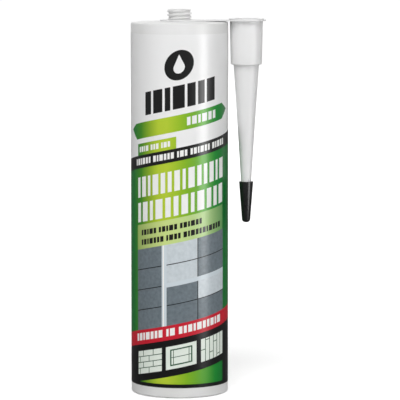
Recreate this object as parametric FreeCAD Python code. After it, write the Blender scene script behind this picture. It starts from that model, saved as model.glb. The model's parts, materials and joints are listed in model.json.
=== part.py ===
import FreeCAD, Part
import os

# A sealant cartridge: a moulded barrel with a threaded neck, a printed film round it,
# the paste and the piston inside, and a hanger plate that carries the capped nozzle.
# Millimetres, +Z up. The origin is the centre of the barrel's rear rim.

# Barrel
barrel_diameter = 50.0
barrel_wall = 1.6
barrel_height = 191.7          # rear rim to the shoulder's outer edge
rear_edge_bevel = 0.8
rear_mouth_relief = 0.2        # how much wider, on radius, the bore is at the rear mouth
rear_mouth_depth = 9.0
rear_mouth_taper = 1.5         # height of the cone that leads from the mouth to the bore
shoulder_wall = 1.6            # at the shoulder's edge
shoulder_edge_bevel = 0.6
shoulder_corner_bevel = 1.0    # inside, where the side wall meets the end wall
shoulder_rise = 0.5            # from the shoulder's edge up to the flat land round the neck
land_margin = 0.2              # how far the land reaches past the hanger's eye

# Neck, at the root of its thread
neck_diameter = 11.8
neck_height = 6.0
neck_bore = 8.0
neck_lead_in = 1.2             # cone from the chamber into the neck's bore
neck_edge_bevel = 0.3
neck_thread_height = 0.45
neck_foot_step = 0.2           # how far the smooth foot stands out from the thread's root
neck_foot_margin = 0.15        # foot left bare above the hanger
membrane_thickness = 0.6
membrane_depth = 0.9           # from the neck's rim down to the membrane

# Printed film
film_thickness = 0.1
film_rear_margin = 5.4
film_front_margin = 5.5

# Piston
piston_clearance = 0.05
piston_inset = 10.5            # rear rim of the barrel to the rear rim of the piston
piston_height = 15.0
piston_wall = 1.3
piston_crown = 1.5
piston_lip_height = 2.2
piston_lip_depth = 0.6         # how far the lips stand out from the waist
piston_lip_taper = 0.9
piston_front_bevel = 1.2
piston_rib_count = 8
piston_rib_thickness = 1.2
piston_rib_height = 2.2        # ribs and hub stand this far out from the crown's rear face
piston_hub_diameter = 12.0

# Paste
paste_side_clearance = 0.05
paste_end_clearance = 0.3

# Nozzle hanger
hanger_thickness = 0.7
hanger_rim = 1.325             # plate left round the nozzle's hole
hanger_web_width = 11.0        # across the waist between the two eyes
hanger_neck_clearance = 0.08
hanger_nozzle_clearance = 0.15
nozzle_side_gap = 0.775        # between the film and the hanging nozzle

# Nozzle
socket_clearance = 0.1
socket_depth = 16.0
nozzle_base_wall = 2.075       # round the socket, at the mouth
nozzle_base_draft = 0.5        # how much the base narrows, on radius, down to the step
nozzle_base_length = 22.87     # underside of the mouth's lip to the step
nozzle_lip_overlap = 0.45
nozzle_lip_height = 0.6
nozzle_step_height = 0.6
nozzle_cone_length = 80.2
nozzle_cone_diameter = 13.1
nozzle_cone_wall = 1.3
nozzle_tip_diameter = 2.7
nozzle_tip_bore = 1.4

# Cap on the nozzle's tip
cap_clearance = 0.06
cap_engagement = 19.5
cap_mouth_wall = 1.01
cap_tip_wall = 0.62
cap_end_gap = 0.4              # between the nozzle's tip and the cap's floor
cap_end_thickness = 1.3
cap_end_bevel = 0.9

# Radii and levels that the pieces share
barrel_r = barrel_diameter / 2
bore_r = barrel_r - barrel_wall
film_r = barrel_r + film_thickness
neck_r = neck_diameter / 2
socket_r = neck_r + neck_thread_height + socket_clearance
nozzle_base_r = socket_r + nozzle_base_wall
nozzle_hole_r = nozzle_base_r + hanger_nozzle_clearance
eye_r = nozzle_hole_r + hanger_rim
eye_spacing = film_r + nozzle_side_gap + nozzle_base_r
land_r = eye_r + land_margin
land_z = barrel_height + shoulder_rise
neck_top_z = land_z + neck_height
end_wall_z = barrel_height - shoulder_wall
piston_front_z = piston_inset + piston_height
hanger_top_z = land_z + hanger_thickness
nozzle_step_z = hanger_top_z - nozzle_base_length
nozzle_tip_z = nozzle_step_z - nozzle_cone_length
cap_mouth_z = nozzle_tip_z + cap_engagement

UP = FreeCAD.Vector(0, 0, 1)
ORIGIN = FreeCAD.Vector(0, 0, 0)


def turned(corners):
    """Return the solid that an outline of (radius, height) corners sweeps round the Z axis."""
    points = [FreeCAD.Vector(radius, 0, height) for radius, height in corners]
    outline = Part.makePolygon(points + points[:1])
    return Part.Face(outline).revolve(ORIGIN, UP, 360)


def ring(outer, inner, bottom, top):
    """Return a plain ring round the Z axis."""
    return turned([(inner, bottom), (outer, bottom), (outer, top), (inner, top)])


def make_barrel():
    """Return the barrel: side wall, end wall and neck in one moulding."""
    mouth_r = bore_r + rear_mouth_relief
    foot_r = neck_r + neck_foot_step
    foot_z = land_z + hanger_thickness + neck_foot_margin
    neck_bore_r = neck_bore / 2
    membrane_top = neck_top_z - membrane_depth
    membrane_bottom = membrane_top - membrane_thickness
    return turned([
        (mouth_r, 0),
        (barrel_r - rear_edge_bevel, 0),
        (barrel_r, rear_edge_bevel),
        (barrel_r, barrel_height - shoulder_edge_bevel),
        (barrel_r - shoulder_edge_bevel, barrel_height),
        (land_r, land_z),
        (foot_r, land_z),
        (foot_r, foot_z),
        (neck_r, foot_z + neck_foot_step),
        (neck_r, neck_top_z - neck_edge_bevel),
        (neck_r - neck_edge_bevel, neck_top_z),
        (neck_bore_r, neck_top_z),
        (neck_bore_r, membrane_top),
        (0, membrane_top),
        (0, membrane_bottom),
        (neck_bore_r, membrane_bottom),
        (neck_bore_r, end_wall_z + neck_lead_in),
        (neck_bore_r + neck_lead_in, end_wall_z),
        (bore_r - shoulder_corner_bevel, end_wall_z),
        (bore_r, end_wall_z - shoulder_corner_bevel),
        (bore_r, rear_mouth_depth + rear_mouth_taper),
        (mouth_r, rear_mouth_depth),
    ])


def make_label():
    """Return the printed film round the barrel, bare bands left at both ends."""
    return ring(film_r, barrel_r, film_rear_margin, barrel_height - film_front_margin)


def piston_outline(lip_r, waist_r, inner_r):
    """Return the corners of the piston's section: two lips, a waist and a flat crown."""
    rear = piston_inset
    front = piston_front_z
    rear_lip_top = rear + piston_lip_height
    front_lip_bottom = front - piston_lip_height
    return [
        (inner_r, rear),
        (lip_r, rear),
        (lip_r, rear_lip_top),
        (waist_r, rear_lip_top + piston_lip_taper),
        (waist_r, front_lip_bottom - piston_lip_taper),
        (lip_r, front_lip_bottom),
        (lip_r, front - piston_front_bevel),
        (lip_r - piston_front_bevel, front),
        (0, front),
        (0, front - piston_crown),
        (inner_r, front - piston_crown),
    ]


def make_piston():
    """Return the piston: a lipped cup, open to the rear, with ribs across its crown."""
    lip_r = bore_r - piston_clearance
    waist_r = lip_r - piston_lip_depth
    inner_r = waist_r - piston_wall
    hub_r = piston_hub_diameter / 2
    crown_rear_z = piston_front_z - piston_crown
    cup = turned(piston_outline(lip_r, waist_r, inner_r))
    rib_bottom = crown_rear_z - piston_rib_height
    rib_top = crown_rear_z + piston_crown / 2
    hub = ring(hub_r, hub_r - piston_rib_thickness, rib_bottom, rib_top)
    rib_start = hub_r - piston_rib_thickness / 2
    rib_length = inner_r + piston_wall / 2 - rib_start
    corner = FreeCAD.Vector(rib_start, -piston_rib_thickness / 2, rib_bottom)
    rib = Part.makeBox(rib_length, piston_rib_thickness, rib_top - rib_bottom, corner)
    ribs = []
    for index in range(piston_rib_count):
        placed = rib.copy()
        placed.rotate(ORIGIN, UP, 360 * index / piston_rib_count)
        ribs.append(placed)
    return cup.multiFuse([hub] + ribs).removeSplitter()


def make_sealant():
    """Return the paste between the piston's crown and the end wall."""
    side_r = bore_r - paste_side_clearance
    bottom = piston_front_z + paste_end_clearance
    top = end_wall_z - paste_side_clearance
    return turned([
        (0, bottom),
        (side_r, bottom),
        (side_r, top - shoulder_corner_bevel),
        (side_r - shoulder_corner_bevel, top),
        (0, top),
    ])


def eye_outline():
    """Return the hanger's plan: two round eyes joined by a waisted web."""
    half_spacing = eye_spacing / 2
    half_web = hanger_web_width / 2
    waist_r = (half_spacing ** 2 + half_web ** 2 - eye_r ** 2) / (2 * (eye_r - half_web))
    waist_offset = half_web + waist_r
    reach = eye_r / (eye_r + waist_r)
    touch_x = half_spacing * reach
    touch_y = waist_offset * reach

    def arc(start, middle, end):
        return Part.Arc(*[FreeCAD.Vector(x, y, land_z) for x, y in (start, middle, end)]).toShape()

    far_x = eye_spacing - touch_x
    edges = [
        arc((touch_x, -touch_y), (half_spacing, -half_web), (far_x, -touch_y)),
        arc((far_x, -touch_y), (eye_spacing + eye_r, 0), (far_x, touch_y)),
        arc((far_x, touch_y), (half_spacing, half_web), (touch_x, touch_y)),
        arc((touch_x, touch_y), (-eye_r, 0), (touch_x, -touch_y)),
    ]
    return Part.Wire(edges)


def make_nozzle_hanger():
    """Return the flat plate that turns on the neck and carries the nozzle."""
    plate = Part.Face(eye_outline()).extrude(UP * hanger_thickness)
    neck_hole_r = neck_r + neck_foot_step + hanger_neck_clearance
    neck_hole = Part.makeCylinder(neck_hole_r, hanger_thickness, UP * land_z)
    nozzle_centre = FreeCAD.Vector(eye_spacing, 0, land_z)
    nozzle_hole = Part.makeCylinder(nozzle_hole_r, hanger_thickness, nozzle_centre)
    return plate.cut([neck_hole, nozzle_hole])


def cone_radius(level):
    """Return the nozzle cone's outer radius at a level."""
    share = (level - nozzle_tip_z) / nozzle_cone_length
    return nozzle_tip_diameter / 2 + share * (nozzle_cone_diameter - nozzle_tip_diameter) / 2


def hung(shape):
    """Return a turned piece moved out to the axis of the hanging nozzle."""
    shape.translate(FreeCAD.Vector(eye_spacing, 0, 0))
    return shape


def make_nozzle():
    """Return the nozzle, tip down: lip, socket for the neck and long hollow cone."""
    lip_top = hanger_top_z + nozzle_lip_height
    lip_r = nozzle_hole_r + nozzle_lip_overlap
    step_bottom = nozzle_step_z - nozzle_step_height
    socket_floor = lip_top - socket_depth
    passage_r = nozzle_cone_diameter / 2 - nozzle_cone_wall
    base_bottom_r = nozzle_base_r - nozzle_base_draft
    return hung(turned([
        (socket_r, lip_top),
        (lip_r, lip_top),
        (lip_r, hanger_top_z),
        (nozzle_base_r, hanger_top_z),
        (base_bottom_r, nozzle_step_z),
        (cone_radius(step_bottom), step_bottom),
        (nozzle_tip_diameter / 2, nozzle_tip_z),
        (nozzle_tip_bore / 2, nozzle_tip_z),
        (passage_r, nozzle_step_z),
        (passage_r, socket_floor),
        (socket_r, socket_floor),
    ]))


def make_nozzle_cap():
    """Return the cap: a closed cone that grips the nozzle's tip."""
    floor_z = nozzle_tip_z - cap_end_gap
    end_z = floor_z - cap_end_thickness
    mouth_bore_r = cone_radius(cap_mouth_z) + cap_clearance
    floor_r = cone_radius(nozzle_tip_z) + cap_clearance
    end_r = floor_r + cap_tip_wall
    return hung(turned([
        (0, end_z),
        (end_r - cap_end_bevel, end_z),
        (end_r, end_z + cap_end_bevel),
        (mouth_bore_r + cap_mouth_wall, cap_mouth_z),
        (mouth_bore_r, cap_mouth_z),
        (floor_r, floor_z),
        (0, floor_z),
    ]))


PIECES = {
    "barrel": make_barrel,
    "label": make_label,
    "sealant": make_sealant,
    "piston": make_piston,
    "nozzle_hanger": make_nozzle_hanger,
    "nozzle": make_nozzle,
    "nozzle_cap": make_nozzle_cap,
}

os.makedirs("parts", exist_ok=True)
for name, make in PIECES.items():
    make().exportStep(f"parts/{name}.step")
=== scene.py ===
import json
import math
from itertools import cycle

import bmesh
import bpy
from bpy.props import FloatProperty, FloatVectorProperty, IntProperty, PointerProperty
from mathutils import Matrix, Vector
from mathutils.geometry import delaunay_2d_cdt


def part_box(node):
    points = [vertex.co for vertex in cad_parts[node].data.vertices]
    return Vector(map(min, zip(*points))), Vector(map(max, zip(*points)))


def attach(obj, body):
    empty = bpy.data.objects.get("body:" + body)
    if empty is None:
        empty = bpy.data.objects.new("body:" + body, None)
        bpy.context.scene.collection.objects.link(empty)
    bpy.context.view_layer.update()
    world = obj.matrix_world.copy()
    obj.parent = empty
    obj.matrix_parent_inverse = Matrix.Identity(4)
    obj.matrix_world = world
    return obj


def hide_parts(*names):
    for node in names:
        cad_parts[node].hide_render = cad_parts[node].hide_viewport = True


bl_info = {
    "name": "Sealant Cartridge",
    "version": (1, 0, 0),
    "blender": (4, 5, 0),
    "location": "3D View > Sidebar > Cartridge",
    "description": "Finishes a sealant cartridge: barrel, printed film, piston, hanger, nozzle and cap",
    "category": "Object",
}

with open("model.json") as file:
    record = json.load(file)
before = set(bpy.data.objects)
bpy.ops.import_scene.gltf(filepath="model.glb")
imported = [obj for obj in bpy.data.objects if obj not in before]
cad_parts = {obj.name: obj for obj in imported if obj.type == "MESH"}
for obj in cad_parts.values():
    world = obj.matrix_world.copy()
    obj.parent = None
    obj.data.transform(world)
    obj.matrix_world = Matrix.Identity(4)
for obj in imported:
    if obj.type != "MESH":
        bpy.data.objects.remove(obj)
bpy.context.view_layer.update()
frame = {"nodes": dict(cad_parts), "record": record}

MM = 0.001
ROUND_SEGMENTS = 192
ARC_STEPS = 6
HOLE_STEPS = 96
THREAD_STEPS = 96
SHARP_ANGLE = math.radians(32)
ON_AXIS = 1e-7
WELD = 0.002 * MM
PURE_WHITE = (1, 1, 1, 1)
SENSOR_WIDTH = 36


# Sizes read from the construction

def mount(name):
    """Return one of the record's mounts."""
    return next(entry for entry in frame["record"]["mounts"] if entry["name"] == name)


def mount_size(name, size):
    """Return a mount's size in metres."""
    return mount(name)["dims"][size] * MM


barrel_low, barrel_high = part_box("barrel")
film_low, film_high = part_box("label")
paste_low, paste_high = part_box("sealant")
piston_low, piston_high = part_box("piston")
plate_low, plate_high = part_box("nozzle_hanger")
nozzle_low, nozzle_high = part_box("nozzle")
cap_low, cap_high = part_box("nozzle_cap")
nozzle_axis = (nozzle_low.x + nozzle_high.x) / 2


# Settings

def length(name, description, millimetres):
    """Return a length setting whose default is given in millimetres."""
    return FloatProperty(
        name=name, description=description, default=millimetres * MM, unit="LENGTH", precision=5
    )


def number(name, description, value):
    """Return a setting that is a plain number."""
    return FloatProperty(name=name, description=description, default=value)


def linear(code):
    """Return an sRGB hex colour as linear red, green, blue and alpha."""
    parts = [int(code[i:i + 2], 16) / 255 for i in (0, 2, 4)]
    return [c / 12.92 if c <= 0.04045 else ((c + 0.055) / 1.055) ** 2.4 for c in parts] + [1.0]


def colour(name, description, code):
    """Return a colour setting whose default is given as an sRGB hex code."""
    return FloatVectorProperty(
        name=name, description=description, default=linear(code), size=4, min=0, max=1,
        subtype="COLOR",
    )


class BarrelSettings(bpy.types.PropertyGroup):
    """Sizes and colour of the barrel"""
    paste_gap: length("Paste Gap", "Gap between the paste and the bore", 0.05)
    shoulder_rise: length("Shoulder Rise", "Rise from the shoulder's edge to its flat land", 0.5)
    land_margin: length("Land Margin", "Land past the hanger's eye", 0.2)
    rear_rounding: length("Rear Rounding", "Rounding of the rear rim's outer edge", 1.1)
    shoulder_rounding: length("Shoulder Rounding", "Rounding of the shoulder's edge", 0.8)
    mouth_taper: length("Mouth Taper", "Height of the cone inside the rear mouth", 1.5)
    foot_step: length("Foot Step", "How far the neck's foot stands out", 0.2)
    foot_margin: length("Foot Margin", "Foot above the hanger", 0.15)
    neck_bore: length("Neck Bore", "Radius of the neck's bore", 4.0)
    neck_rim: length("Neck Rim", "Height of the smooth rim over the thread's root", 0.6)
    neck_lead: length("Neck Lead-in", "Cone from the chamber to the neck's bore", 1.2)
    membrane_depth: length("Membrane Depth", "From the neck's rim to the membrane", 0.9)
    membrane: length("Membrane", "Thickness of the membrane", 0.6)
    thread_depth: length("Thread Depth", "Height of the thread over its root", 0.45)
    thread_pitch: length("Thread Pitch", "Rise of the thread in one turn", 1.87)
    thread_crest: length("Thread Crest", "Width of the thread's crest", 0.5)
    thread_foot: length("Thread Foot", "Width of the thread at its root", 1.3)
    thread_cut: length("Thread Cut", "How far the thread's root is cut into the neck", 0.4)
    thread_top: length("Thread Top", "From the neck's rim to the last ridge at the front", 0.68)
    thread_sink: length("Thread Sink", "How far the ridge reaches under its root", 0.05)
    plastic: colour("Plastic", "Colour of the moulded barrel", "E6E6E6")


class FilmSettings(bpy.types.PropertyGroup):
    """Sizes and inks of the printed film"""
    thickness: length("Thickness", "Thickness of the film", 0.07)
    inset: length("Inset", "How far the film's face lies under its largest radius", 0.01)
    slant: number("Slant", "Rise of the print along the wrap", 0.208)
    columns: IntProperty(name="Columns", description="Strips that bend the film", default=240, min=48)
    green: colour("Green", "Darkest green of the print", "00702A")
    lime: colour("Lime", "Lightest green of the print", "B2CA2C")
    black: colour("Black", "Black of the print", "070708")
    red: colour("Red", "Red of the print", "C8102A")
    slate: colour("Slate", "Grey of the wall panel", "626D74")


class PistonSettings(bpy.types.PropertyGroup):
    """Sizes and colour of the piston"""
    wall: length("Wall", "Wall of the skirt", 1.3)
    crown: length("Crown", "Thickness of the crown", 1.5)
    lip_height: length("Lip Height", "Height of each sealing lip", 2.2)
    lip_depth: length("Lip Depth", "How far the lips stand out", 0.6)
    lip_taper: length("Lip Taper", "Height of the slope behind each lip", 0.9)
    front_bevel: length("Front Bevel", "Bevel round the crown", 1.2)
    rib: length("Rib", "Thickness of a rib and of the hub", 1.2)
    rib_height: length("Rib Height", "How far the ribs stand out from the crown", 2.2)
    rib_sink: length("Rib Sink", "How far the ribs and the hub reach into the crown", 0.2)
    hub: length("Hub", "Outer radius of the hub", 6.0)
    ribs: IntProperty(name="Ribs", description="Number of ribs", default=8, min=3)
    plastic: colour("Plastic", "Colour of the moulded piston", "DCDCD6")


class HangerSettings(bpy.types.PropertyGroup):
    """Sizes and colour of the plate that carries the nozzle"""
    web: length("Web", "Half the width of the waist", 5.5)
    neck_gap: length("Neck Gap", "Gap between the plate and the neck's foot", 0.08)
    nozzle_rim: length("Nozzle Rim", "Plate round the nozzle's hole", 1.325)
    edge: length("Edge", "Rounding of the plate's edges", 0.12)
    plastic: colour("Plastic", "Colour of the moulded plate", "E8E8E8")


class NozzleSettings(bpy.types.PropertyGroup):
    """Sizes and colour of the nozzle"""
    lip_overlap: length("Lip Overlap", "How far the lip lies over the plate", 0.45)
    hole_gap: length("Hole Gap", "Gap between the nozzle and its hole", 0.15)
    base_draft: length("Base Draft", "How much the base narrows to the step", 0.5)
    base_length: length("Base Length", "Underside of the lip to the step", 22.87)
    step: length("Step", "Height of the step under the base", 0.6)
    cone: length("Cone", "Largest radius of the cone", 6.55)
    cone_wall: length("Cone Wall", "Wall of the cone at its wide end", 1.3)
    tip: length("Tip", "Outer radius of the tip", 1.35)
    tip_bore: length("Tip Bore", "Radius of the bore at the tip", 0.7)
    edge: length("Edge", "Rounding of the outer edges", 0.2)
    thread_turns: number("Thread Turns", "Turns of the inner thread", 3.2)
    plastic: colour("Plastic", "Colour of the moulded nozzle", "E9E9E9")


class CapSettings(bpy.types.PropertyGroup):
    """Sizes and colour of the cap"""
    gap: length("Gap", "Gap between the nozzle and the cap", 0.06)
    end_gap: length("End Gap", "From the nozzle's tip to the cap's floor", 0.4)
    tip_wall: length("Tip Wall", "Wall of the cap at its end", 0.62)
    end: length("End", "Thickness of the cap's end", 1.3)
    end_rounding: length("End Rounding", "Rounding of the cap's end", 1.75)
    edge: length("Edge", "Rounding of the mouth's edges", 0.2)
    plastic: colour("Plastic", "Colour of the moulded cap", "141415")


class StageSettings(bpy.types.PropertyGroup):
    """Camera, floor and lights"""
    camera_x: length("Camera X", "The camera's place to the side", 10.56)
    camera_distance: length("Camera Distance", "From the barrel's axis to the camera", 1404.0)
    camera_height: length("Camera Height", "The camera's height over the floor", 247.2)
    camera_pitch: FloatProperty(
        name="Camera Pitch", description="How far the camera looks down",
        default=math.radians(6.0), subtype="ANGLE",
    )
    lens: number("Lens", "Focal length on a 36 mm sensor", 245.6)
    floor_size: length("Floor Size", "Side of the floor", 60000.0)
    high_power: number("High", "Power of the high main light", 32.5)
    left_power: number("Left", "Power of the left soft box", 5.0)
    right_power: number("Right", "Power of the right soft box", 13.0)
    strip_power: number("Strip", "Power of the narrow side light", 0.6)
    back_power: number("Back", "Power of each light behind", 20.0)
    ambient: number("Ambient", "Light from all round", 0.03)


class CartridgeSettings(bpy.types.PropertyGroup):
    """The settings of every piece and of the stage"""
    barrel: PointerProperty(type=BarrelSettings)
    film: PointerProperty(type=FilmSettings)
    piston: PointerProperty(type=PistonSettings)
    hanger: PointerProperty(type=HangerSettings)
    nozzle: PointerProperty(type=NozzleSettings)
    cap: PointerProperty(type=CapSettings)
    stage: PointerProperty(type=StageSettings)


# Nodes

def feed(tree, node, inputs):
    """Link each of a node's inputs that is given a socket, and set any other to its value."""
    for key, value in inputs.items():
        if isinstance(value, bpy.types.NodeSocket):
            tree.links.new(value, node.inputs[key])
        else:
            node.inputs[key].default_value = value


def add(tree, kind, inputs=None, **settings):
    """Add a node with its inputs and settings."""
    node = tree.nodes.new(kind)
    for name, value in settings.items():
        setattr(node, name, value)
    feed(tree, node, inputs or {})
    return node


def shader_of(material):
    """Return a material's node tree and its main shader."""
    material.use_nodes = True
    tree = material.node_tree
    return tree, tree.nodes["Principled BSDF"]


def grain(tree, size, detail=2.0, stretch=(1.0, 1.0, 1.0)):
    """Return noise on the piece's own coordinates whose blobs are about size across, in metres."""
    place = add(tree, "ShaderNodeTexCoord")
    scaled = add(tree, "ShaderNodeMapping", {"Vector": place.outputs["Object"], "Scale": stretch})
    noise = {"Vector": scaled.outputs["Vector"], "Scale": 1 / size, "Detail": detail}
    return add(tree, "ShaderNodeTexNoise", noise).outputs["Fac"]


def spread(tree, factor, low, high):
    """Return a noise factor's middle part stretched to run from low to high."""
    middle_low = 0.3
    middle_high = 0.7
    span = {
        "Value": factor, "From Min": middle_low, "From Max": middle_high, "To Min": low, "To Max": high,
    }
    return add(tree, "ShaderNodeMapRange", span).outputs["Result"]


def bump(tree, shader, factor, depth):
    """Raise the surface by depth, in metres, where the factor is high."""
    height = {"Height": factor, "Distance": depth, "Strength": 1.0}
    raised = add(tree, "ShaderNodeBump", height)
    feed(tree, shader, {"Normal": raised.outputs["Normal"]})


def tinted(tree, shader, factor, light, dark):
    """Let the colour drift from dark to light with a factor."""
    mixed = add(tree, "ShaderNodeMix", {0: factor, 6: dark, 7: light}, data_type="RGBA")
    feed(tree, shader, {"Base Color": mixed.outputs[2]})


# Materials

POLYETHYLENE_IOR = 1.54
CLOUD_SIZE = 18 * MM
ROUGHNESS_DRIFT = 0.03
LACQUER_IOR = 1.5
LACQUER_ROUGHNESS = 0.3
LACQUER_SPECULAR = 0.5
FILM_WAVE = 9 * MM
FILM_WAVE_DEPTH = 0.02 * MM
UPRIGHT_STRETCH = (1.0, 1.0, 0.4)


def moulded_plastic(name, light, dark, roughness, ripple, depth):
    """Return a moulded plastic with a ripple size and depth in metres."""
    material = bpy.data.materials.new(name)
    tree, shader = shader_of(material)
    cloud = grain(tree, CLOUD_SIZE)
    fine = grain(tree, ripple, detail=3.0)
    tinted(tree, shader, spread(tree, cloud, 0.0, 1.0), light, dark)
    rough = spread(tree, fine, roughness - ROUGHNESS_DRIFT, roughness + ROUGHNESS_DRIFT)
    feed(tree, shader, {"IOR": POLYETHYLENE_IOR, "Roughness": rough})
    bump(tree, shader, fine, depth)
    return material


def barrel_polyethylene(settings):
    # High-density polyethylene, injection moulded: a waxy satin white that keeps a faint
    # ripple of the steel it was moulded on.
    return moulded_plastic(
        "moulded_high_density_polyethylene", settings.plastic, linear("E1E1E0"),
        roughness=0.42, ripple=2.4 * MM, depth=0.006 * MM,
    )


def piston_polyethylene(settings):
    # Low-density polyethylene, injection moulded without pigment: milky and duller.
    return moulded_plastic(
        "moulded_natural_polyethylene", settings.plastic, linear("D2D2CA"),
        roughness=0.5, ripple=1.6 * MM, depth=0.01 * MM,
    )


def hanger_polyethylene(settings):
    # Thin polyethylene plate, injection moulded: smooth and white.
    return moulded_plastic(
        "moulded_thin_polyethylene", settings.plastic, linear("E2E2E2"),
        roughness=0.4, ripple=2.0 * MM, depth=0.004 * MM,
    )


def nozzle_polyethylene(settings):
    # Low-density polyethylene, injection moulded on a polished core: soft white, a little
    # light goes through the thin wall.
    material = moulded_plastic(
        "moulded_low_density_polyethylene", settings.plastic, linear("E4E4E4"),
        roughness=0.46, ripple=2.0 * MM, depth=0.005 * MM,
    )
    tree, shader = shader_of(material)
    feed(tree, shader, {
        "Subsurface Weight": 0.15,
        "Subsurface Radius": (1.0, 0.95, 0.9),
        "Subsurface Scale": 1.0 * MM,
    })
    return material


def cap_polyethylene(settings):
    # Black polyethylene, injection moulded in a polished mould: deep black with clear shine.
    return moulded_plastic(
        "moulded_black_polyethylene", settings.plastic, linear("1B1B1C"),
        roughness=0.3, ripple=1.5 * MM, depth=0.006 * MM,
    )


def acrylic_paste():
    # Acrylic sealant, filled by machine: dense, white and matt, with soft lumps.
    return moulded_plastic(
        "filled_acrylic_paste", linear("EFEFEA"), linear("E4E4DE"),
        roughness=0.6, ripple=5.0 * MM, depth=0.1 * MM,
    )


def printed_film(name):
    """Return a gloss-lacquered film and its tree and shader, ready for an ink's colour."""
    material = bpy.data.materials.new(name)
    tree, shader = shader_of(material)
    feed(tree, shader, {
        "IOR": LACQUER_IOR, "Specular IOR Level": LACQUER_SPECULAR, "Roughness": LACQUER_ROUGHNESS,
    })
    waves = grain(tree, FILM_WAVE, detail=1.0, stretch=UPRIGHT_STRETCH)
    bump(tree, shader, waves, FILM_WAVE_DEPTH)
    return material, tree, shader


def plain_ink(name, shade):
    """Return film printed in one even colour."""
    material, tree, shader = printed_film(name)
    feed(tree, shader, {"Base Color": shade})
    return material


def shaded_ink(name, stops):
    """Return film printed in colours that run across the front, from (place, colour) stops."""
    material, tree, shader = printed_film(name)
    print_map = add(tree, "ShaderNodeUVMap", uv_map=PRINT_MAP)
    across = add(tree, "ShaderNodeSeparateXYZ", {"Vector": print_map.outputs["UV"]})
    ramp = add(tree, "ShaderNodeValToRGB", {"Fac": across.outputs["X"]})
    elements = ramp.color_ramp.elements
    elements.remove(elements[1])
    for index, (place, shade) in enumerate(stops):
        element = elements[0] if index == 0 else elements.new(place)
        element.position = place
        element.color = shade
    feed(tree, shader, {"Base Color": ramp.outputs["Color"]})
    return material


def slate_ink(name, light, dark):
    """Return film printed as a mottled render wall."""
    material, tree, shader = printed_film(name)
    speckle_size = 1.6 * MM
    speckle = grain(tree, speckle_size, detail=4.0)
    tinted(tree, shader, spread(tree, speckle, 0.0, 1.0), light, dark)
    return material


# Meshes

def finished(name, mesh, body):
    """Link a mesh as a piece that rides on a body, with smooth faces and crisp edges."""
    mesh.name = name
    mesh.shade_smooth()
    mesh.set_sharp_from_angle(angle=SHARP_ANGLE)
    piece = bpy.data.objects.new(name, mesh)
    bpy.context.scene.collection.objects.link(piece)
    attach(piece, body)
    return piece


def arc(centre, radius, start, end, steps):
    """Return the points along an arc, with both of its ends."""
    turns = [start + (end - start) * step / steps for step in range(steps + 1)]
    return [(centre[0] + radius * math.cos(a), centre[1] + radius * math.sin(a)) for a in turns]


def rounded(corners):
    """Return the points of a closed section given as (radius, height[, rounding])."""
    points = [Vector(corner[:2]) for corner in corners]
    drawn = []
    for index, corner in enumerate(corners):
        here = points[index]
        rounding = corner[2] if len(corner) > 2 else 0
        if rounding <= 0:
            drawn.append(here)
            continue
        back = (points[index - 1] - here).normalized()
        ahead = (points[(index + 1) % len(points)] - here).normalized()
        half = back.angle(ahead) / 2
        centre = here + (back + ahead).normalized() * rounding / math.sin(half)
        start = here + back * rounding / math.tan(half) - centre
        end = here + ahead * rounding / math.tan(half) - centre
        first = math.atan2(start.y, start.x)
        turn = (math.atan2(end.y, end.x) - first + math.pi) % math.tau - math.pi
        drawn += arc(centre, rounding, first, first + turn, ARC_STEPS)
    return drawn


def lathe(corners, material, axis_x=0.0):
    """Return the closed mesh that a section sweeps round an upright axis."""
    turns = [math.tau * step / ROUND_SEGMENTS for step in range(ROUND_SEGMENTS)]
    mesh = bmesh.new()
    rings = []
    for radius, height in rounded(corners):
        if radius < ON_AXIS:
            rings.append([mesh.verts.new((axis_x, 0, height))])
            continue
        rings.append([
            mesh.verts.new((axis_x + radius * math.cos(a), radius * math.sin(a), height))
            for a in turns
        ])
    for index, ring in enumerate(rings):
        before = rings[index - 1]
        if len(ring) == 1 and len(before) == 1:
            continue
        for step in range(ROUND_SEGMENTS):
            after = (step + 1) % ROUND_SEGMENTS
            quad = [
                before[step % len(before)], before[after % len(before)],
                ring[after % len(ring)], ring[step % len(ring)],
            ]
            mesh.faces.new(list(dict.fromkeys(quad)))
    bmesh.ops.recalc_face_normals(mesh, faces=mesh.faces)
    made = bpy.data.meshes.new("turned")
    mesh.to_mesh(made)
    mesh.free()
    made.materials.append(material)
    return made


def faced_out(made, weld=0.0):
    """Join a mesh's points that lie closer than weld, and turn its faces outward."""
    mesh = bmesh.new()
    mesh.from_mesh(made)
    if weld:
        bmesh.ops.remove_doubles(mesh, verts=mesh.verts, dist=weld)
    bmesh.ops.recalc_face_normals(mesh, faces=mesh.faces)
    mesh.to_mesh(made)
    mesh.free()
    return made


def evaluated(holder):
    """Return the plain mesh that a holder's modifiers make, and remove the holder."""
    bpy.context.view_layer.update()
    graph = bpy.context.evaluated_depsgraph_get()
    made = bpy.data.meshes.new_from_object(holder.evaluated_get(graph), depsgraph=graph)
    holder.modifiers.clear()
    old = holder.data
    bpy.data.objects.remove(holder)
    if isinstance(old, bpy.types.Mesh):
        bpy.data.meshes.remove(old)
    return made


def holder_of(shape):
    """Return a linked object that holds a mesh or a curve while it is worked on."""
    holder = bpy.data.objects.new("holder", shape)
    bpy.context.scene.collection.objects.link(holder)
    return holder


def new_tree(name, inputs):
    """Return a geometry tree with a mesh in and out and named number inputs."""
    tree = bpy.data.node_groups.new(name, "GeometryNodeTree")
    tree.interface.new_socket("Geometry", in_out="INPUT", socket_type="NodeSocketGeometry")
    for label in inputs:
        kind = "NodeSocketInt" if label.startswith("Number") else "NodeSocketFloat"
        tree.interface.new_socket(label, in_out="INPUT", socket_type=kind)
    tree.interface.new_socket("Geometry", in_out="OUTPUT", socket_type="NodeSocketGeometry")
    return tree, add(tree, "NodeGroupInput").outputs


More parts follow.
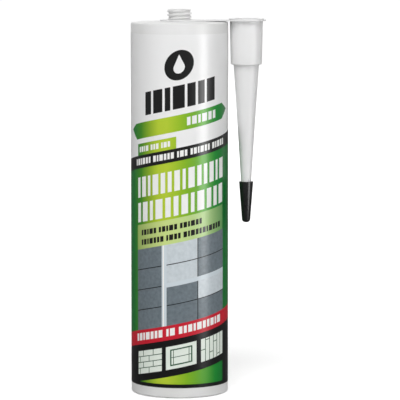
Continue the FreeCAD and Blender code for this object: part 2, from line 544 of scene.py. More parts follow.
def run_tree(holder, tree, values):
    """Put a tree on a holder with its inputs set by their sockets' identifiers."""
    modifier = holder.modifiers.new(tree.name, "NODES")
    modifier.node_group = tree
    for item in tree.interface.items_tree:
        if item.in_out == "INPUT" and item.name in values:
            modifier[item.identifier] = values[item.name]
    return modifier


def close_tree(tree, geometry, material):
    """End a tree in real geometry that wears one material."""
    real = add(tree, "GeometryNodeRealizeInstances", {"Geometry": geometry})
    dressed = add(tree, "GeometryNodeSetMaterial", {
        "Geometry": real.outputs["Geometry"], "Material": material,
    })
    add(tree, "NodeGroupOutput", {0: dressed.outputs["Geometry"]})


def math_node(tree, operation, first, second=0.0, third=0.0):
    """Return the result of a calculation on up to three numbers or sockets."""
    numbers = {0: first, 1: second, 2: third}
    return add(tree, "ShaderNodeMath", numbers, operation=operation).outputs[0]


# Threads

def thread_tree(material):
    """Return a tree that winds a tapered right-hand thread ridge round an upright axis."""
    tree, given = new_tree("screw_thread", [
        "Radius", "Pitch", "Turns", "Depth", "Crest Width", "Foot Width",
        "Start Angle", "Start Height", "Axis X", "Run-out",
    ])
    rise = math_node(tree, "MULTIPLY", given["Pitch"], given["Turns"])
    spiral = add(tree, "GeometryNodeCurveSpiral", {
        "Resolution": THREAD_STEPS, "Rotations": given["Turns"], "Start Radius": given["Radius"],
        "End Radius": given["Radius"], "Height": rise, "Reverse": True,
    })
    upright = add(
        tree, "GeometryNodeSetCurveNormal", {"Curve": spiral.outputs["Curve"]}, mode="Z_UP"
    )
    along = add(tree, "GeometryNodeSplineParameter").outputs["Factor"]
    to_end = math_node(tree, "SUBTRACT", 1.0, along)
    nearest = math_node(tree, "MINIMUM", along, to_end)
    end_size = 0.05
    fade = {"Value": nearest, "From Max": given["Run-out"], "To Min": end_size}
    size = add(tree, "ShaderNodeMapRange", fade, interpolation_type="SMOOTHSTEP")
    section = add(tree, "GeometryNodeCurvePrimitiveQuadrilateral", {
        "Bottom Width": given["Foot Width"], "Top Width": given["Crest Width"],
        "Height": given["Depth"], "Offset": 0.0,
    }, mode="TRAPEZOID")
    quarter = add(tree, "GeometryNodeTransform", {
        "Geometry": section.outputs["Curve"], "Rotation": (0.0, 0.0, -math.pi / 2),
    })
    swept = add(tree, "GeometryNodeCurveToMesh", {
        "Curve": upright.outputs["Curve"], "Profile Curve": quarter.outputs["Geometry"],
        "Scale": size.outputs["Result"], "Fill Caps": True,
    })
    place = add(tree, "ShaderNodeCombineXYZ", {"X": given["Axis X"], "Z": given["Start Height"]})
    turn = add(tree, "ShaderNodeCombineXYZ", {"Z": given["Start Angle"]})
    placed = add(tree, "GeometryNodeTransform", {
        "Geometry": swept.outputs["Mesh"], "Translation": place.outputs["Vector"],
        "Rotation": turn.outputs["Vector"],
    })
    close_tree(tree, placed.outputs["Geometry"], material)
    return tree


def wind_thread(material, threads, values):
    """Return the mesh of a ridge that has the barrel's pitch and profile."""
    shared = {
        "Pitch": threads.thread_pitch,
        "Crest Width": threads.thread_crest,
        "Foot Width": threads.thread_foot,
    }
    holder = holder_of(bpy.data.meshes.new("empty"))
    run_tree(holder, thread_tree(material), shared | values)
    return faced_out(evaluated(holder))


# Ribs

def rib_tree(material):
    """Return a tree that sets ribs like spokes round an upright axis."""
    tree, given = new_tree("spoke_ribs", [
        "Start", "Length", "Thickness", "Height", "Level", "Number of Ribs",
    ])
    size = add(tree, "ShaderNodeCombineXYZ", {
        "X": given["Length"], "Y": given["Thickness"], "Z": given["Height"],
    })
    block = add(tree, "GeometryNodeMeshCube", {"Size": size.outputs["Vector"]})
    middle = math_node(tree, "MULTIPLY_ADD", given["Length"], 0.5, given["Start"])
    level = math_node(tree, "MULTIPLY_ADD", given["Height"], 0.5, given["Level"])
    place = add(tree, "ShaderNodeCombineXYZ", {"X": middle, "Z": level})
    rib = add(tree, "GeometryNodeTransform", {
        "Geometry": block.outputs["Mesh"], "Translation": place.outputs["Vector"],
    })
    spots = add(tree, "GeometryNodeMeshLine", {
        "Count": given["Number of Ribs"], "Offset": (0.0, 0.0, 0.0),
    })
    index = add(tree, "GeometryNodeInputIndex").outputs["Index"]
    share = math_node(tree, "DIVIDE", index, given["Number of Ribs"])
    turn = add(tree, "ShaderNodeCombineXYZ", {"Z": math_node(tree, "MULTIPLY", share, math.tau)})
    spokes = add(tree, "GeometryNodeInstanceOnPoints", {
        "Points": spots.outputs["Mesh"], "Instance": rib.outputs["Geometry"],
        "Rotation": turn.outputs["Vector"],
    })
    close_tree(tree, spokes.outputs["Instances"], material)
    return tree


# Print on the film

PRINT_MAP = "print"
WHITE, BLACK, GREEN, PALE, SLATE, TILE, RED, PANEL, LINE, INK_WHITE, BEAD = range(11)
LETTER_WIDTHS = (2.6, 3.6, 2.0, 4.2, 3.0)


class Sheet:
    """The flat print: shapes in their order of printing, each an ink and its corners.

    It is drawn in millimetres. u runs round the barrel from its front and w runs up it, and
    the whole print rises with the slant towards the side of the nozzle.
    """

    def __init__(self, slant):
        self.around = math.tau * film_high.x / MM
        self.low = film_low.z / MM
        self.high = film_high.z / MM
        self.slant = slant
        self.left = -self.around / 4
        self.right = self.around * 3 / 4
        self.shapes = []
        corners = [(self.left, self.low), (self.right, self.low),
                   (self.right, self.high), (self.left, self.high)]
        self.shapes.append((WHITE, corners))

    def swing(self, u):
        """Return how far round from the front a place is, turning back on the rear half."""
        return u if u <= self.around / 4 else self.around / 2 - u

    def height(self, u, w):
        """Return the height on the barrel of a place on the slanted print."""
        return min(max(w + self.slant * self.swing(u), self.low), self.high)

    def draw(self, ink, corners):
        """Add a shape from its slanted corners."""
        self.shapes.append((ink, [(u, self.height(u, w)) for u, w in corners]))

    def band(self, ink, low, high):
        """Add a band that runs all round."""
        stops = [self.left, self.around / 4, self.right]
        corners = [(u, low) for u in stops] + [(u, high) for u in reversed(stops)]
        self.draw(ink, corners)

    def box(self, ink, left, right, low, high):
        """Add an upright box whose top and bottom follow the slant."""
        self.draw(ink, [(left, low), (right, low), (right, high), (left, high)])

    def line(self, ink, start, end, width):
        """Add a straight stroke."""
        run = Vector(end) - Vector(start)
        side = Vector((-run.y, run.x)).normalized() * width / 2
        self.draw(ink, [
            (start[0] - side.x, start[1] - side.y), (end[0] - side.x, end[1] - side.y),
            (end[0] + side.x, end[1] + side.y), (start[0] + side.x, start[1] + side.y),
        ])

    def bars(self, ink, left, right, low, high, scale, gap, spaces=()):
        """Add a row of plain upright bars, with wider spaces after the numbered ones."""
        wide_gap = 3 * gap
        u = left
        for index, width in enumerate(cycle(LETTER_WIDTHS)):
            end = u + width * scale
            if end > right:
                break
            self.box(ink, u, end, low, high)
            u = end + (wide_gap if index in spaces else gap)


def front_title(sheet, centre):
    """Draw the white zone: a drop on a disc, a row of heavy bars and a green ribbon."""
    disc_w = 170.8
    disc_r = 7.6
    sheet.draw(BLACK, arc((centre, disc_w), disc_r, 0, math.tau, 48)[:-1])
    drop_w = disc_w - 1.3
    drop_r = 2.9
    drop_tip = disc_w + 5.4
    drop = arc((centre, drop_w), drop_r, math.radians(150), math.radians(390), 24)
    sheet.draw(WHITE, drop + [(centre, drop_tip)])
    sheet.bars(BLACK, centre - 19, centre + 20.5, low=148.8, high=160.6, scale=1.45, gap=1.3)
    ribbon_low = 137.4
    ribbon_high = 145.6
    sheet.draw(GREEN, [
        (centre - 31, 143.4), (centre - 26, ribbon_low), (centre + 26, ribbon_low),
        (centre + 31, 141.4), (centre + 26, ribbon_high), (centre - 27, ribbon_high),
    ])
    sheet.bars(WHITE, centre + 4, centre + 22, low=139.4, high=143.6, scale=0.7, gap=0.8)


def front_fields(sheet):
    """Draw the front's fields of colour with their rows of bars."""
    sheet.box(GREEN, -25, -1.5, low=128.9, high=134.9)
    sheet.bars(INK_WHITE, -23.5, -3.5, low=130.5, high=133.3, scale=0.4, gap=0.5, spaces=(3, 6))
    sheet.bars(
        INK_WHITE, -26.5, 28, low=124.1, high=127.3, scale=0.45, gap=0.55, spaces=(5, 11, 14, 20)
    )
    sheet.bars(INK_WHITE, -25, 27.8, low=107.3, high=117.7, scale=0.8, gap=1.35)
    sheet.bars(INK_WHITE, -25, 27.8, low=94.6, high=104.6, scale=0.95, gap=1.5)
    sheet.box(PALE, -25.5, 27, low=80.6, high=93.3)
    sheet.bars(BLACK, -22, 14, low=87.6, high=90.4, scale=0.5, gap=0.5, spaces=(4, 9))
    sheet.bars(BLACK, -22, 25, low=82.6, high=85.5, scale=0.5, gap=0.5, spaces=(6, 10))
    wall_panel(sheet, -25.5, 27.3, low=38.8, high=80.6)


def wall_panel(sheet, left, right, low, high):
    """Draw a tiled wall with a bead of sealant in one upright and one level joint."""
    columns = 3
    rows = 4
    joint = 0.45
    upright_bead = 2.6
    level_bead = 2.2
    shine = 0.7
    wide = (right - left) / columns
    tall = (high - low) / rows
    bead_u = left + wide
    bead_w = low + 2 * tall
    shine_u = bead_u - 0.4
    sheet.box(SLATE, left, right, low, high)
    sheet.box(TILE, bead_u, left + 2 * wide, bead_w, high)
    sheet.box(TILE, left + 2 * wide, right, low + tall, bead_w)
    for column in range(1, columns):
        u = left + column * wide
        sheet.line(BLACK, (u, low), (u, high), joint)
    for row in range(1, rows):
        w = low + row * tall
        sheet.line(BLACK, (left, w), (right, w), joint)
    sheet.line(BEAD, (bead_u, low), (bead_u, high), upright_bead)
    sheet.line(BEAD, (bead_u, bead_w), (right, bead_w), level_bead)
    sheet.line(INK_WHITE, (shine_u, low), (shine_u, high), shine)


def pictograms(sheet, centre):
    """Draw three light panels with a brick bond, a window and planks."""
    low = 16.0
    high = 27.9
    spans = [(centre + left, centre + right) for left, right in ((-25, -9.2), (-7, 9), (11.5, 27))]
    for left, right in spans:
        sheet.box(PANEL, left, right, low, high)
    draw_bricks(sheet, *spans[0], low, high)
    draw_window(sheet, *spans[1], low, high)
    draw_planks(sheet, *spans[2], low, high)


def draw_bricks(sheet, left, right, low, high):
    """Draw the joints of a brick bond."""
    courses = 4
    brick = 6.6
    even_start = 1.6
    odd_start = 4.2
    stroke = 0.4
    course_height = (high - low) / courses
    for course in range(courses):
        w = low + course * course_height
        if course:
            sheet.line(LINE, (left, w), (right, w), stroke)
        first_joint = left + (odd_start if course % 2 else even_start)
        for u in (first_joint, first_joint + brick):
            sheet.line(LINE, (u, w), (u, w + course_height), stroke)


def draw_window(sheet, left, right, low, high):
    """Draw a window frame with its inner lines."""
    heavy = 0.7
    light = 0.35
    margin = 2
    rail_margin = 2.3
    window_low = low + margin
    window_high = high - margin
    for inset, width in ((2.6, heavy), (4.0, light)):
        for u in (left + inset, right - inset):
            sheet.line(LINE, (u, window_low), (u, window_high), width)
    for w, width in ((window_low, heavy), (window_high, heavy), ((low + high) / 2, light)):
        sheet.line(LINE, (left + rail_margin, w), (right - rail_margin, w), width)


def draw_planks(sheet, left, right, low, high):
    """Draw upright planks, each with a joint at its own height."""
    planks = 6
    stroke = 0.4
    plank_wide = 2.6
    levels = 5
    lowest_joint = low + 1.4
    for plank in range(1, planks):
        u = left + plank * (right - left) / planks
        joint_w = lowest_joint + (high - low) * ((plank * 2) % levels) / levels
        sheet.line(LINE, (u, low), (u, high), stroke)
        sheet.line(LINE, (u - plank_wide, joint_w), (u, joint_w), stroke)


def rear_panel(sheet, centre):
    """Draw the pale panel on the rear with its rows of small bars."""
    rows = 17
    first_row = 113.5
    row_step = 4.1
    row_height = 1.7
    sheet.box(PANEL, centre - 26, centre + 26, low=42.0, high=119.0)
    for row in range(rows):
        w = first_row - row * row_step
        end = 15 if (row * 3) % 4 == 1 else 22
        spaces = (3 + row % 3, 8, 13 + row % 2, 18)
        sheet.bars(
            BLACK, centre - 23, centre + end, w, w + row_height, scale=0.42, gap=0.45, spaces=spaces
        )


def draw_print(slant):
    """Return the whole print."""
    sheet = Sheet(slant)
    rear = sheet.around / 2
    under_edge = -20.0
    red_low = 31.3
    red_high = 38.8
    green_high = 122.3
    stripe_high = 128.9
    sheet.band(GREEN, red_low, green_high)
    sheet.band(BLACK, green_high, stripe_high)
    sheet.band(RED, red_low, red_high)
    sheet.band(BLACK, under_edge, red_low)
    for centre in (0, rear):
        front_title(sheet, centre)
        sheet.bars(
            INK_WHITE, centre - 26, centre + 27, low=33.4, high=37.2, scale=0.6, gap=0.7, spaces=(6, 8)
        )
        pictograms(sheet, centre)
    front_fields(sheet)
    rear_panel(sheet, rear)
    wedge = [(-24, 7.3), (27, 7.3), (27, 18.0)]
    sheet.shapes.append((GREEN, wedge))
    return sheet


def sheet_mesh(sheet, columns):
    """Return the flat sheet cut along every shape's edge and into upright strips."""
    points = []
    faces = []
    for ink, corners in sheet.shapes:
        faces.append(list(range(len(points), len(points) + len(corners))))
        points.extend(Vector(corner) for corner in corners)
    edges = []
    for column in range(1, columns):
        u = sheet.left + column * sheet.around / columns
        edges.append((len(points), len(points) + 1))
        points.append(Vector((u, sheet.low)))
        points.append(Vector((u, sheet.high)))
    inside_only = 1
    closest = 1e-5
    cut = delaunay_2d_cdt(points, edges, faces, inside_only, closest)
    corners, triangles, sources = cut[0], cut[2], cut[5]
    mesh = bpy.data.meshes.new("sheet")
    mesh.from_pydata([(p.x * MM, p.y * MM, 0) for p in corners], [], triangles)
    inks = mesh.attributes.new("ink", "INT", "FACE")
    inks.data.foreach_set("value", [sheet.shapes[max(found)][0] for found in sources])
    layer = mesh.uv_layers.new(name=PRINT_MAP)
    for loop in mesh.loops:
        u, z = corners[loop.vertex_index]
        across = 0.5 + sheet.swing(u) * 2 / sheet.around
        layer.data[loop.index].uv = (across, (z - sheet.low) / (sheet.high - sheet.low))
    return mesh


def wrap_tree(inks):
    """Return a tree that bends a flat sheet round the barrel and gives each ink its material."""
    tree, given = new_tree("wrap_round_barrel", ["Radius"])
    place = add(tree, "GeometryNodeInputPosition")
    flat = add(tree, "ShaderNodeSeparateXYZ", {"Vector": place.outputs["Position"]})
    turn = math_node(tree, "DIVIDE", flat.outputs["X"], given["Radius"])
    across = math_node(tree, "MULTIPLY", math_node(tree, "SINE", turn), given["Radius"])
    back = math_node(tree, "MULTIPLY", math_node(tree, "COSINE", turn), given["Radius"])
    bent = add(tree, "ShaderNodeCombineXYZ", {
        "X": across, "Y": math_node(tree, "MULTIPLY", back, -1.0), "Z": flat.outputs["Y"],
    })
    moved = add(tree, "GeometryNodeSetPosition", {
        "Geometry": given["Geometry"], "Position": bent.outputs["Vector"],
    })
    joined = add(tree, "GeometryNodeMergeByDistance", {
        "Geometry": moved.outputs["Geometry"], "Distance": WELD,
    })
    real = add(tree, "GeometryNodeRealizeInstances", {"Geometry": joined.outputs["Geometry"]})
    ink = add(tree, "GeometryNodeInputNamedAttribute", {"Name": "ink"}, data_type="INT")
    geometry = real.outputs["Geometry"]
    for place_in_list, material in enumerate(inks):
        chosen = add(
            tree, "FunctionNodeCompare", {2: ink.outputs["Attribute"], 3: place_in_list},
            data_type="INT", operation="EQUAL",
        )
        geometry = add(tree, "GeometryNodeSetMaterial", {
            "Geometry": geometry, "Selection": chosen.outputs["Result"], "Material": material,
        }).outputs["Geometry"]
    add(tree, "NodeGroupOutput", {0: geometry})
    return tree


def film_inks(settings):
    """Return the film's materials, in the order of the ink numbers."""
    # Polypropylene film, gravure printed and gloss lacquered: even inks under one clear,
    # slightly wavy shine.
    green = settings.green
    lime = settings.lime
    return [
        plain_ink("printed_film_white", linear("ECECEC")),
        plain_ink("printed_film_black", settings.black),
        shaded_ink("printed_film_green", [
            (0.0, green), (0.12, green), (0.22, linear("3E8A16")), (0.36, lime), (0.42, lime),
            (0.55, linear("7DB211")), (0.66, linear("58A42A")), (0.76, linear("118A2C")),
            (0.86, green), (1.0, green),
        ]),
        shaded_ink("printed_film_pale_green", [
            (0.15, linear("93AE5A")), (0.4, linear("C8DA86")), (0.62, linear("B9D48C")),
            (0.85, linear("5E9A58")),
        ]),
        slate_ink("printed_film_slate", linear("727D84"), settings.slate),
        slate_ink("printed_film_tile", linear("CDD5DA"), linear("C0C9CE")),
        plain_ink("printed_film_red", settings.red),
        plain_ink("printed_film_panel", linear("E3EBE2")),
        plain_ink("printed_film_line", linear("2E5A3C")),
        plain_ink("printed_film_ink_white", linear("F0F0EE")),
        plain_ink("printed_film_bead", linear("CBD5DB")),
    ]


# Operators

def dress(node, material):
    """Give a construction node its material."""
    node.data.materials.clear()
    node.data.materials.append(material)
    for slot in node.material_slots:
        slot.material = material


class CARTRIDGE_OT_barrel(bpy.types.Operator):
    """Make the barrel with its threaded neck"""
    bl_idname = "cartridge.barrel"
    bl_label = "Barrel"

    def execute(self, context):
        sizes = context.scene.cartridge.barrel
        plastic = barrel_polyethylene(sizes)
        radius = barrel_high.x
        mouth_r = mount_size("rear_mouth", "r_mm")
        mouth_depth = mount_size("rear_mouth", "length_mm")
        neck_r = mount_size("neck", "r_mm")
        bore_r = paste_high.x + sizes.paste_gap
        end_wall = paste_high.z + sizes.paste_gap
        neck_top = barrel_high.z
        land_z = plate_low.z
        land_r = -plate_low.x + sizes.land_margin
        root_r = neck_r - sizes.thread_cut
        foot_r = neck_r + sizes.foot_step
        foot_top = plate_high.z + sizes.foot_margin
        membrane_top = neck_top - sizes.membrane_depth
        membrane_bottom = membrane_top - sizes.membrane
        mouth_rounding = 0.3 * MM
        land_rounding = 0.5 * MM
        foot_rounding = 0.08 * MM
        step_rounding = 0.1 * MM
        rim_rounding = 0.25 * MM
        bore_rounding = 0.2 * MM
        chamber_rounding = 1.0 * MM
        taper_rounding = 0.4 * MM
        shell = lathe([
            (mouth_r, 0, mouth_rounding),
            (radius, 0, sizes.rear_rounding),
            (radius, land_z - sizes.shoulder_rise, sizes.shoulder_rounding),
            (land_r, land_z, land_rounding),
            (foot_r, land_z),
            (foot_r, foot_top, foot_rounding),
            (root_r, foot_top + sizes.foot_step),
            (root_r, neck_top - sizes.neck_rim - sizes.thread_cut),
            (neck_r, neck_top - sizes.neck_rim, step_rounding),
            (neck_r, neck_top, rim_rounding),
            (sizes.neck_bore, neck_top, bore_rounding),
            (sizes.neck_bore, membrane_top),
            (0, membrane_top),
            (0, membrane_bottom),
            (sizes.neck_bore, membrane_bottom),
            (sizes.neck_bore, end_wall + sizes.neck_lead),
            (sizes.neck_bore + sizes.neck_lead, end_wall),
            (bore_r, end_wall, chamber_rounding),
            (bore_r, mouth_depth + sizes.mouth_taper, taper_rounding),
            (mouth_r, mouth_depth, taper_rounding),
        ], plastic)
        barrel = finished("barrel_shell", shell, "barrel")
        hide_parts("barrel")
        full_turns = 2
        before_front = math.radians(95)
        after_front = math.radians(62)
        run_out = math.radians(60)
        turns = full_turns + (before_front + after_front) / math.tau
        climb = sizes.thread_pitch * (full_turns + before_front / math.tau)
        ridge_depth = sizes.thread_depth + sizes.thread_cut + sizes.thread_sink
        ridge = wind_thread(plastic, sizes, {
            "Radius": neck_r + sizes.thread_depth - ridge_depth / 2,
            "Turns": turns,
            "Depth": ridge_depth,
            "Start Angle": -math.pi / 2 - before_front,
            "Start Height": neck_top - sizes.thread_top - climb,
            "Axis X": 0.0,
            "Run-out": run_out / math.tau / turns,
        })
        finished("neck_thread", ridge, "barrel")
        return {"FINISHED"}


class CARTRIDGE_OT_film(bpy.types.Operator):
    """Make the printed film round the barrel"""
    bl_idname = "cartridge.film"
    bl_label = "Printed Film"

    def execute(self, context):
        settings = context.scene.cartridge.film
        flat = sheet_mesh(draw_print(settings.slant), settings.columns)
        holder = holder_of(flat)
        outer_r = film_high.x - settings.inset
        stretched = film_high.x / outer_r
        for vertex in flat.vertices:
            vertex.co.x /= stretched
        run_tree(holder, wrap_tree(film_inks(settings)), {"Radius": outer_r})
        wall = holder.modifiers.new("film_wall", "SOLIDIFY")
        wall.thickness = settings.thickness
        wall.offset = -1.0
        mesh = evaluated(holder)
        film = finished("printed_film", mesh, "barrel")
        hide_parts("label")
        return {"FINISHED"}


class CARTRIDGE_OT_piston(bpy.types.Operator):
    """Make the piston with its lips, hub and ribs"""
    bl_idname = "cartridge.piston"
    bl_label = "Piston"

    def execute(self, context):
        sizes = context.scene.cartridge.piston
        plastic = piston_polyethylene(sizes)
        lip_r = piston_high.x
        waist_r = lip_r - sizes.lip_depth
        inner_r = waist_r - sizes.wall
        rear = piston_low.z
        front = piston_high.z
        crown = front - sizes.crown
        rear_lip = rear + sizes.lip_height
        front_lip = front - sizes.lip_height
        rear_rounding = 0.25 * MM
        lip_rounding = 0.15 * MM
        waist_rounding = 0.3 * MM
        front_rounding = 0.4 * MM
        crown_rounding = 0.5 * MM
        cup_mesh = lathe([
            (inner_r, rear, rear_rounding),
            (lip_r, rear, rear_rounding),
            (lip_r, rear_lip, lip_rounding),
            (waist_r, rear_lip + sizes.lip_taper, waist_rounding),
            (waist_r, front_lip - sizes.lip_taper, waist_rounding),
            (lip_r, front_lip, lip_rounding),
            (lip_r, front - sizes.front_bevel, front_rounding),
            (lip_r - sizes.front_bevel, front, front_rounding),
            (0, front),
            (0, crown),
            (inner_r, crown, crown_rounding),
        ], plastic)
        cup = finished("piston_cup", cup_mesh, "piston")
        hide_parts("piston")
        rib_low = crown - sizes.rib_height
        rib_top = crown + sizes.rib_sink
        hub_rounding = 0.2 * MM
        hub_mesh = lathe([
            (sizes.hub - sizes.rib, rib_low, hub_rounding),
            (sizes.hub, rib_low, hub_rounding),
            (sizes.hub, rib_top),
            (sizes.hub - sizes.rib, rib_top),
        ], plastic)
        finished("piston_hub", hub_mesh, "piston")
        start = sizes.hub - sizes.rib / 2
        holder = holder_of(bpy.data.meshes.new("empty"))
        run_tree(holder, rib_tree(plastic), {
            "Start": start,
            "Length": inner_r + sizes.wall / 2 - start,
            "Thickness": sizes.rib,
            "Height": sizes.rib_height + sizes.rib_sink,
            "Level": rib_low,
            "Number of Ribs": sizes.ribs,
        })
        rounding = holder.modifiers.new("rib_edges", "BEVEL")
        rounding.width = 0.18 * MM
        rounding.segments = 3
        finished("piston_ribs", evaluated(holder), "piston")
        return {"FINISHED"}


class CARTRIDGE_OT_paste(bpy.types.Operator):
    """Give the paste its finish"""
    bl_idname = "cartridge.paste"
    bl_label = "Paste"

    def execute(self, context):
        paste = frame["nodes"]["sealant"]
        dress(paste, acrylic_paste())
        return {"FINISHED"}


def outline(curve, points):
    """Add a closed outline to a flat curve."""
    spline = curve.splines.new("POLY")
    spline.points.add(len(points) - 1)
    for point, (x, y) in zip(spline.points, points):
        point.co = (x, y, 0, 1)
    spline.use_cyclic_u = True


class CARTRIDGE_OT_hanger(bpy.types.Operator):
    """Make the plate that turns on the neck and carries the nozzle"""
    bl_idname = "cartridge.hanger"
    bl_label = "Hanger"

    def execute(self, context):
        sizes = context.scene.cartridge.hanger
        eye_r = -plate_low.x
        spacing = plate_high.x - eye_r
        half = spacing / 2
        waist_r = (half ** 2 + sizes.web ** 2 - eye_r ** 2) / (2 * (eye_r - sizes.web))
        waist_y = sizes.web + waist_r
        lean = math.atan2(waist_y, half)
        turned_in = math.pi / 2 - lean
        eye_steps = 72
        waist_steps = 24
        outer = arc((0, 0), eye_r, lean, math.tau - lean, eye_steps)[1:]
        outer += arc((half, -waist_y), waist_r, math.pi / 2 + turned_in,
                     math.pi / 2 - turned_in, waist_steps)[1:]
        outer += arc((spacing, 0), eye_r, math.pi + lean, 3 * math.pi - lean, eye_steps)[1:]
        outer += arc((half, waist_y), waist_r, turned_in - math.pi / 2,
                     -math.pi / 2 - turned_in, waist_steps)[1:]
        curve = bpy.data.curves.new("plate", "CURVE")
        curve.dimensions = "2D"
        curve.fill_mode = "BOTH"
        outline(curve, outer)
        foot_r = mount_size("neck", "r_mm") + context.scene.cartridge.barrel.foot_step
        holes = ((0, foot_r + sizes.neck_gap), (spacing, eye_r - sizes.nozzle_rim))
        for hole_x, hole_r in holes:
            outline(curve, arc((hole_x, 0), hole_r, 0, -math.tau, HOLE_STEPS)[:-1])
        thickness = plate_high.z - plate_low.z
        curve.extrude = thickness / 2 - sizes.edge
        curve.bevel_depth = sizes.edge
        curve.bevel_resolution = 2
        curve.offset = -sizes.edge
        mesh = evaluated(holder_of(curve))
        for vertex in mesh.vertices:
            vertex.co.z += plate_low.z + thickness / 2
        faced_out(mesh, WELD)
        mesh.materials.clear()
        mesh.materials.append(hanger_polyethylene(sizes))
        plate = finished("hanger_plate", mesh, "hanger")
        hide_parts("nozzle_hanger")
        return {"FINISHED"}


def cone_radius(sizes, level):
    """Return the nozzle cone's radius at a level."""
    top = plate_high.z - sizes.base_length
    return sizes.tip + (sizes.cone - sizes.tip) * (level - nozzle_low.z) / (top - nozzle_low.z)


class CARTRIDGE_OT_nozzle(bpy.types.Operator):
    """Make the nozzle with its threaded socket"""
    bl_idname = "cartridge.nozzle"
    bl_label = "Nozzle"

    def execute(self, context):
        sizes = context.scene.cartridge.nozzle
        threads = context.scene.cartridge.barrel
        plastic = nozzle_polyethylene(sizes)
        lip_r = nozzle_high.x - nozzle_axis
        lip_low = plate_high.z
        lip_high = nozzle_high.z
        base_r = lip_r - sizes.lip_overlap - sizes.hole_gap
        step_top = lip_low - sizes.base_length
        step_low = step_top - sizes.step
        socket_r = mount_size("nozzle_socket", "r_mm")
        socket_floor = lip_high - mount_size("nozzle_socket", "length_mm")
        passage_r = sizes.cone - sizes.cone_wall
        socket_rounding = 0.2 * MM
        lip_rounding = 0.1 * MM
        step_rounding = 0.3 * MM
        tip_rounding = 0.15 * MM
        tip_bore_rounding = 0.1 * MM
        floor_rounding = 0.3 * MM
        mesh = lathe([
            (socket_r, lip_high, socket_rounding),
            (lip_r, lip_high, sizes.edge),
            (lip_r, lip_low, lip_rounding),
            (base_r, lip_low),
            (base_r - sizes.base_draft, step_top, sizes.edge),
            (cone_radius(sizes, step_low), step_low, step_rounding),
            (sizes.tip, nozzle_low.z, tip_rounding),
            (sizes.tip_bore, nozzle_low.z, tip_bore_rounding),
            (passage_r, step_top),
            (passage_r, socket_floor, floor_rounding),
            (socket_r, socket_floor, floor_rounding),
        ], plastic, nozzle_axis)
        nozzle = finished("nozzle_body", mesh, "nozzle")
        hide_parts("nozzle")
        turns = sizes.thread_turns
        climb = turns * threads.thread_pitch
        lead_in = 1.6 * MM
        run_out_turns = 0.2
        sunk_share = 0.36
        ridge_depth = threads.thread_depth * (1 + sunk_share)
        ridge = wind_thread(plastic, threads, {
            "Radius": socket_r - threads.thread_depth + ridge_depth / 2,
            "Turns": turns,
            "Depth": -ridge_depth,
            "Start Angle": 0.0,
            "Start Height": lip_high - lead_in - climb,
            "Axis X": nozzle_axis,
            "Run-out": run_out_turns / turns,
        })
        finished("socket_thread", ridge, "nozzle")
        return {"FINISHED"}


class CARTRIDGE_OT_cap(bpy.types.Operator):
    """Make the cap on the nozzle's tip"""
    bl_idname = "cartridge.cap"
    bl_label = "Cap"

    def execute(self, context):
        sizes = context.scene.cartridge.cap
        nozzle = context.scene.cartridge.nozzle
        mouth = cap_high.z
        floor = cap_low.z + sizes.end
        floor_r = nozzle.tip + sizes.gap
        mesh = lathe([
            (0, cap_low.z),
            (floor_r + sizes.tip_wall, cap_low.z, sizes.end_rounding),
            (cap_high.x - nozzle_axis, mouth, sizes.edge),
            (cone_radius(nozzle, mouth) + sizes.gap, mouth, sizes.edge),
            (floor_r, nozzle_low.z),
            (floor_r, floor),
            (0, floor),
        ], cap_polyethylene(sizes), nozzle_axis)
        cap = finished("cap_body", mesh, "cap")
        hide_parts("nozzle_cap")
        return {"FINISHED"}


def seen_ray(tree):
    """Return 1 for a ray from the camera, a reflection or a clear surface."""
    path = add(tree, "ShaderNodeLightPath").outputs
    gloss = math_node(tree, "MAXIMUM", path["Is Glossy Ray"], path["Is Transmission Ray"])
    return math_node(tree, "MAXIMUM", gloss, path["Is Camera Ray"])


def backdrop_world(ambient):
    """Light evenly from all round, and show white behind the object."""
    world = bpy.data.worlds.new("studio")
    world.use_nodes = True
    tree = world.node_tree
    tree.nodes.clear()
    seen = seen_ray(tree)
    light = add(tree, "ShaderNodeBackground", {"Color": PURE_WHITE, "Strength": ambient})
    white = add(tree, "ShaderNodeBackground", {"Color": PURE_WHITE, "Strength": 1.0})
    chosen = add(tree, "ShaderNodeMixShader", {
        0: seen, 1: light.outputs["Background"], 2: white.outputs["Background"],
    })
    add(tree, "ShaderNodeOutputWorld", {"Surface": chosen.outputs["Shader"]})
    bpy.context.scene.world = world


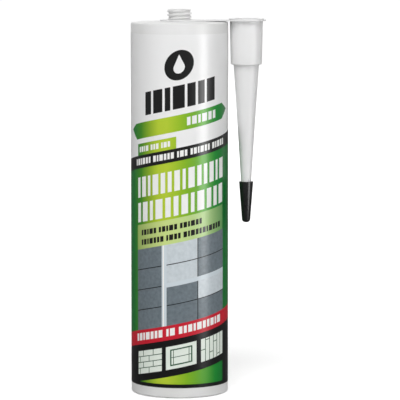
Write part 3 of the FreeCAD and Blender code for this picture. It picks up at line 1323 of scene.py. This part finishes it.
def floor_paper():
    """Return white paper that keeps shadows and lets a view from below through."""
    near = 0.1
    far = 2.5
    near_glow = 0.42
    mirrored_glow = 0.08
    material = bpy.data.materials.new("matt_white_paper")
    tree, shader = shader_of(material)
    feed(tree, shader, {
        "Base Color": linear("E4E4E4"), "Roughness": 0.9, "Specular IOR Level": 0.0,
    })
    place = add(tree, "ShaderNodeTexCoord").outputs["Object"]
    away = add(tree, "ShaderNodeVectorMath", {0: place}, operation="LENGTH").outputs["Value"]
    reach = {"Value": away, "From Min": near, "From Max": far, "To Min": near_glow, "To Max": 1.0}
    rising = add(tree, "ShaderNodeMapRange", reach, interpolation_type="SMOOTHSTEP")
    strength = math_node(tree, "MULTIPLY", seen_ray(tree), rising.outputs["Result"])
    glow = add(tree, "ShaderNodeEmission", {"Color": PURE_WHITE, "Strength": strength})
    paper = add(tree, "ShaderNodeAddShader", {0: shader.outputs["BSDF"], 1: glow.outputs["Emission"]})
    mirrored = add(tree, "ShaderNodeEmission", {"Color": PURE_WHITE, "Strength": mirrored_glow})
    gloss = add(tree, "ShaderNodeLightPath").outputs["Is Glossy Ray"]
    lit = add(tree, "ShaderNodeMixShader", {
        0: gloss, 1: paper.outputs["Shader"], 2: mirrored.outputs["Emission"],
    })
    side = add(tree, "ShaderNodeNewGeometry").outputs["Backfacing"]
    clear = add(tree, "ShaderNodeBsdfTransparent")
    chosen = add(tree, "ShaderNodeMixShader", {
        0: side, 1: lit.outputs["Shader"], 2: clear.outputs["BSDF"],
    })
    feed(tree, tree.nodes["Material Output"], {"Surface": chosen.outputs["Shader"]})
    return material


def soft_box(name, power, azimuth, elevation, width, height, distance=2.2, mirrored=False):
    """Hang a rectangular light that faces the object's middle, with its angles in degrees.

    A mirrored one shows only as a mirror image. Any other lights without one.
    """
    lamp = bpy.data.lights.new(name, "AREA")
    lamp.shape = "RECTANGLE"
    lamp.size = width
    lamp.size_y = height
    lamp.energy = power
    light = bpy.data.objects.new(name, lamp)
    bpy.context.scene.collection.objects.link(light)
    turn = math.radians(azimuth)
    rise = math.radians(elevation)
    away = Vector((math.sin(turn) * math.cos(rise), -math.cos(turn) * math.cos(rise), math.sin(rise)))
    light.location = Vector((0, 0, barrel_high.z / 2)) + away * distance
    light.rotation_mode = "QUATERNION"
    light.rotation_quaternion = away.to_track_quat("Z", "Y")
    light.visible_camera = False
    light.visible_glossy = mirrored
    light.visible_diffuse = not mirrored


class CARTRIDGE_OT_stage(bpy.types.Operator):
    """Set the floor, the lights and the camera"""
    bl_idname = "cartridge.stage"
    bl_label = "Stage"

    def execute(self, context):
        stage = context.scene.cartridge.stage
        half = stage.floor_size / 2
        level = -0.05 * MM
        mesh = bpy.data.meshes.new("floor")
        corners = [
            (-half, -half, level), (half, -half, level), (half, half, level), (-half, half, level),
        ]
        mesh.from_pydata(corners, [], [(0, 1, 2, 3)])
        mesh.materials.append(floor_paper())
        floor = bpy.data.objects.new("floor", mesh)
        context.scene.collection.objects.link(floor)
        backdrop_world(stage.ambient)
        soft_box("high_light", stage.high_power, azimuth=-6, elevation=55, width=1.0, height=1.0)
        soft_box("left_light", stage.left_power, azimuth=-36, elevation=12, width=1.5, height=1.4)
        soft_box("right_light", stage.right_power, azimuth=28, elevation=12, width=1.6, height=1.4)
        soft_box("strip_light", stage.strip_power, azimuth=57, elevation=2, width=0.1, height=0.3,
                 distance=0.32, mirrored=True)
        for name, azimuth in (("back_left_light", 216), ("back_right_light", 140)):
            soft_box(name, stage.back_power, azimuth, elevation=25, width=1.5, height=1.4)
        camera_data = bpy.data.cameras.new("camera")
        camera_data.sensor_width = SENSOR_WIDTH
        camera_data.lens = stage.lens
        camera_data.clip_end = stage.floor_size
        camera = bpy.data.objects.new("camera", camera_data)
        context.scene.collection.objects.link(camera)
        camera.location = (stage.camera_x, -stage.camera_distance, stage.camera_height)
        camera.rotation_euler = (math.pi / 2 - stage.camera_pitch, 0, 0)
        context.scene.camera = camera
        context.scene.view_settings.view_transform = "Standard"
        return {"FINISHED"}


class CARTRIDGE_PT_panel(bpy.types.Panel):
    """List the cartridge's pieces"""
    bl_idname = "CARTRIDGE_PT_panel"
    bl_label = "Sealant Cartridge"
    bl_space_type = "VIEW_3D"
    bl_region_type = "UI"
    bl_category = "Cartridge"

    def draw(self, context):
        for operator in OPERATORS:
            self.layout.operator(operator.bl_idname)


SETTINGS = (
    BarrelSettings, FilmSettings, PistonSettings, HangerSettings, NozzleSettings, CapSettings,
    StageSettings, CartridgeSettings,
)
OPERATORS = (
    CARTRIDGE_OT_barrel, CARTRIDGE_OT_film, CARTRIDGE_OT_piston, CARTRIDGE_OT_paste,
    CARTRIDGE_OT_hanger, CARTRIDGE_OT_nozzle, CARTRIDGE_OT_cap, CARTRIDGE_OT_stage,
)


def register():
    for kind in SETTINGS + OPERATORS + (CARTRIDGE_PT_panel,):
        bpy.utils.register_class(kind)
    bpy.types.Scene.cartridge = PointerProperty(type=CartridgeSettings)


def unregister():
    del bpy.types.Scene.cartridge
    for kind in reversed(SETTINGS + OPERATORS + (CARTRIDGE_PT_panel,)):
        bpy.utils.unregister_class(kind)


def main():
    register()
    bpy.ops.cartridge.barrel()
    bpy.ops.cartridge.film()
    bpy.ops.cartridge.piston()
    bpy.ops.cartridge.paste()
    bpy.ops.cartridge.hanger()
    bpy.ops.cartridge.nozzle()
    bpy.ops.cartridge.cap()
    bpy.ops.cartridge.stage()


if __name__ == "__main__":
    main()
